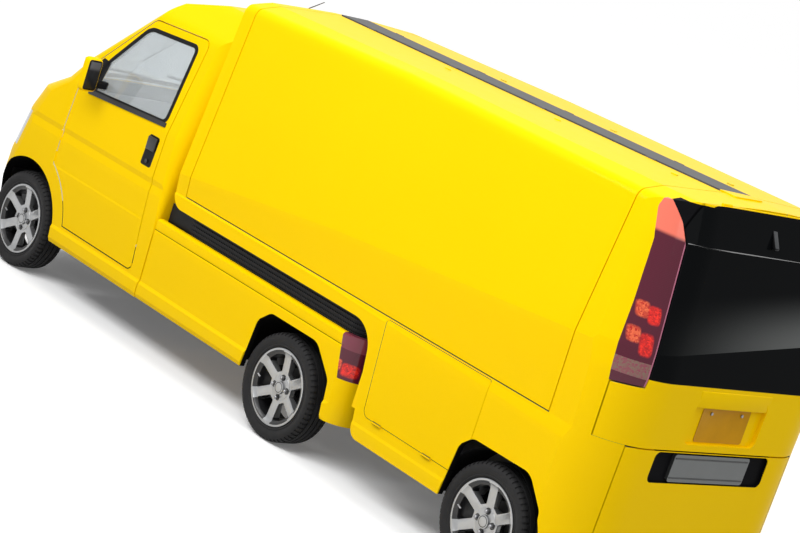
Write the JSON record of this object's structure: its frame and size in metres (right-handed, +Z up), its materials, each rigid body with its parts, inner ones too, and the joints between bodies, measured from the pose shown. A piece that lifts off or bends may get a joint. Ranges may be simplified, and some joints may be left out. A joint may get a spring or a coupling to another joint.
{
  "type": "six-wheeled kei van",
  "caption": "Small cab truck with a wing-sided cargo box that reaches down behind the bed onto its own axle; doors, wings, gates, wheels and steering move.",
  "frame": {"origin": "on the ground under the middle of the overall length and width", "axes": "+X towards the front of the van, +Y to its left, +Z up"},
  "size_m": [4.9765, 1.7794, 1.957],
  "materials": {
    "yellow_paint": "gloss",
    "black_trim": "matte",
    "grey_trim": "satin",
    "glass": "gloss",
    "dark_glass": "gloss",
    "clear_lamp": "gloss",
    "red_lamp": "gloss",
    "interior": "matte",
    "seat_cloth": "matte",
    "chassis_black": "satin",
    "engine": "matte",
    "alloy": "satin",
    "tyre": "matte",
    "floor": "satin"
  },
  "bodies": {
    "truck": {"chassis_frame": "chassis_black", "engine_block": "engine", "cab_shell": "yellow_paint", "windscreen": "glass", "front_bumper": "yellow_paint", "front_grille": "black_trim", "headlamps": "clear_lamp", "dashboard": "interior", "steering_wheel": "black_trim", "seats": "seat_cloth", "bed_tub": "yellow_paint", "bed_tail_lamps": "red_lamp", "ribbed_skirt": "black_trim", "box_front_wall": "yellow_paint", "box_side_left": "yellow_paint", "box_side_right": "yellow_paint", "box_floor": "floor", "roof_spine": "grey_trim", "tail_lamps": "red_lamp", "middle_axle": "chassis_black", "rear_axle": "chassis_black"},
    "door_left": {"door_left": "yellow_paint", "door_glass_left": "glass", "door_handle_left": "black_trim", "mirror_left": "black_trim"},
    "wing_left": {"wing_left": "yellow_paint"},
    "side_gate_left": {"side_gate_left": "yellow_paint"},
    "knuckle_left": {"knuckle_left": "chassis_black"},
    "door_right": {"door_right": "yellow_paint", "door_glass_right": "glass", "door_handle_right": "black_trim", "mirror_right": "black_trim"},
    "wing_right": {"wing_right": "yellow_paint"},
    "side_gate_right": {"side_gate_right": "yellow_paint"},
    "knuckle_right": {"knuckle_right": "chassis_black"},
    "tailgate": {"tailgate": "yellow_paint", "rear_glass": "dark_glass"},
    "drop_gate": {"drop_gate": "yellow_paint", "drop_gate_grip": "grey_trim"},
    "wheel_front_left": {"rim_front_left": "alloy", "tyre_front_left": "tyre"},
    "wheel_front_right": {"rim_front_right": "alloy", "tyre_front_right": "tyre"},
    "wheel_middle_left": {"rim_middle_left": "alloy", "tyre_middle_left": "tyre"},
    "wheel_middle_right": {"rim_middle_right": "alloy", "tyre_middle_right": "tyre"},
    "wheel_rear_left": {"rim_rear_left": "alloy", "tyre_rear_left": "tyre"},
    "wheel_rear_right": {"rim_rear_right": "alloy", "tyre_rear_right": "tyre"}
  },
  "joints": [
    {"name": "door_left_hinge", "type": "hinge", "parent": "truck", "child": "door_left", "pos_m": [1.8165, 0.7375, 0.9], "axis": [0, 0, -1], "range_deg": [0, 68]},
    {"name": "wing_left_hinge", "type": "hinge", "parent": "truck", "child": "wing_left", "pos_m": [-0.4015, 0.098, 1.95], "axis": [1, 0, 0], "range_deg": [0, 85]},
    {"name": "side_gate_left_hinge", "type": "hinge", "parent": "truck", "child": "side_gate_left", "pos_m": [-1.3515, 0.7375, 0.396], "axis": [-1, 0, 0], "range_deg": [0, 90]},
    {"name": "steer_left", "type": "hinge", "parent": "truck", "child": "knuckle_left", "pos_m": [2.0185, 0.512, 0.2685], "axis": [0, 0, 1], "range_deg": [-33, 33]},
    {"name": "door_right_hinge", "type": "hinge", "parent": "truck", "child": "door_right", "pos_m": [1.8165, -0.7375, 0.9], "axis": [0, 0, 1], "range_deg": [0, 68]},
    {"name": "wing_right_hinge", "type": "hinge", "parent": "truck", "child": "wing_right", "pos_m": [-0.4015, -0.098, 1.95], "axis": [-1, 0, 0], "range_deg": [0, 85]},
    {"name": "side_gate_right_hinge", "type": "hinge", "parent": "truck", "child": "side_gate_right", "pos_m": [-1.3515, -0.7375, 0.396], "axis": [1, 0, 0], "range_deg": [0, 90]},
    {"name": "steer_right", "type": "hinge", "parent": "truck", "child": "knuckle_right", "pos_m": [2.0185, -0.512, 0.2685], "axis": [0, 0, 1], "range_deg": [-33, 33]},
    {"name": "tailgate_hinge", "type": "hinge", "parent": "truck", "child": "tailgate", "pos_m": [-2.3395, 0, 1.944], "axis": [0, 1, 0], "range_deg": [0, 80]},
    {"name": "drop_gate_hinge", "type": "hinge", "parent": "truck", "child": "drop_gate", "pos_m": [-2.4645, 0, 0.327], "axis": [0, -1, 0], "range_deg": [0, 88]},
    {"name": "wheel_front_left_spin", "type": "hinge", "parent": "knuckle_left", "child": "wheel_front_left", "pos_m": [2.0185, 0.6325, 0.2685], "axis": [0, 1, 0], "continuous": true},
    {"name": "wheel_front_right_spin", "type": "hinge", "parent": "knuckle_right", "child": "wheel_front_right", "pos_m": [2.0185, -0.6325, 0.2685], "axis": [0, 1, 0], "continuous": true},
    {"name": "wheel_middle_left_spin", "type": "hinge", "parent": "truck", "child": "wheel_middle_left", "pos_m": [-0.4015, 0.6325, 0.2685], "axis": [0, 1, 0], "continuous": true},
    {"name": "wheel_middle_right_spin", "type": "hinge", "parent": "truck", "child": "wheel_middle_right", "pos_m": [-0.4015, -0.6325, 0.2685], "axis": [0, 1, 0], "continuous": true},
    {"name": "wheel_rear_left_spin", "type": "hinge", "parent": "truck", "child": "wheel_rear_left", "pos_m": [-1.9315, 0.6325, 0.2685], "axis": [0, 1, 0], "continuous": true},
    {"name": "wheel_rear_right_spin", "type": "hinge", "parent": "truck", "child": "wheel_rear_right", "pos_m": [-1.9315, -0.6325, 0.2685], "axis": [0, 1, 0], "continuous": true}
  ],
  "couplings": [
    {"joint": "steer_right", "follows": "steer_left", "ratio": 1}
  ]
}
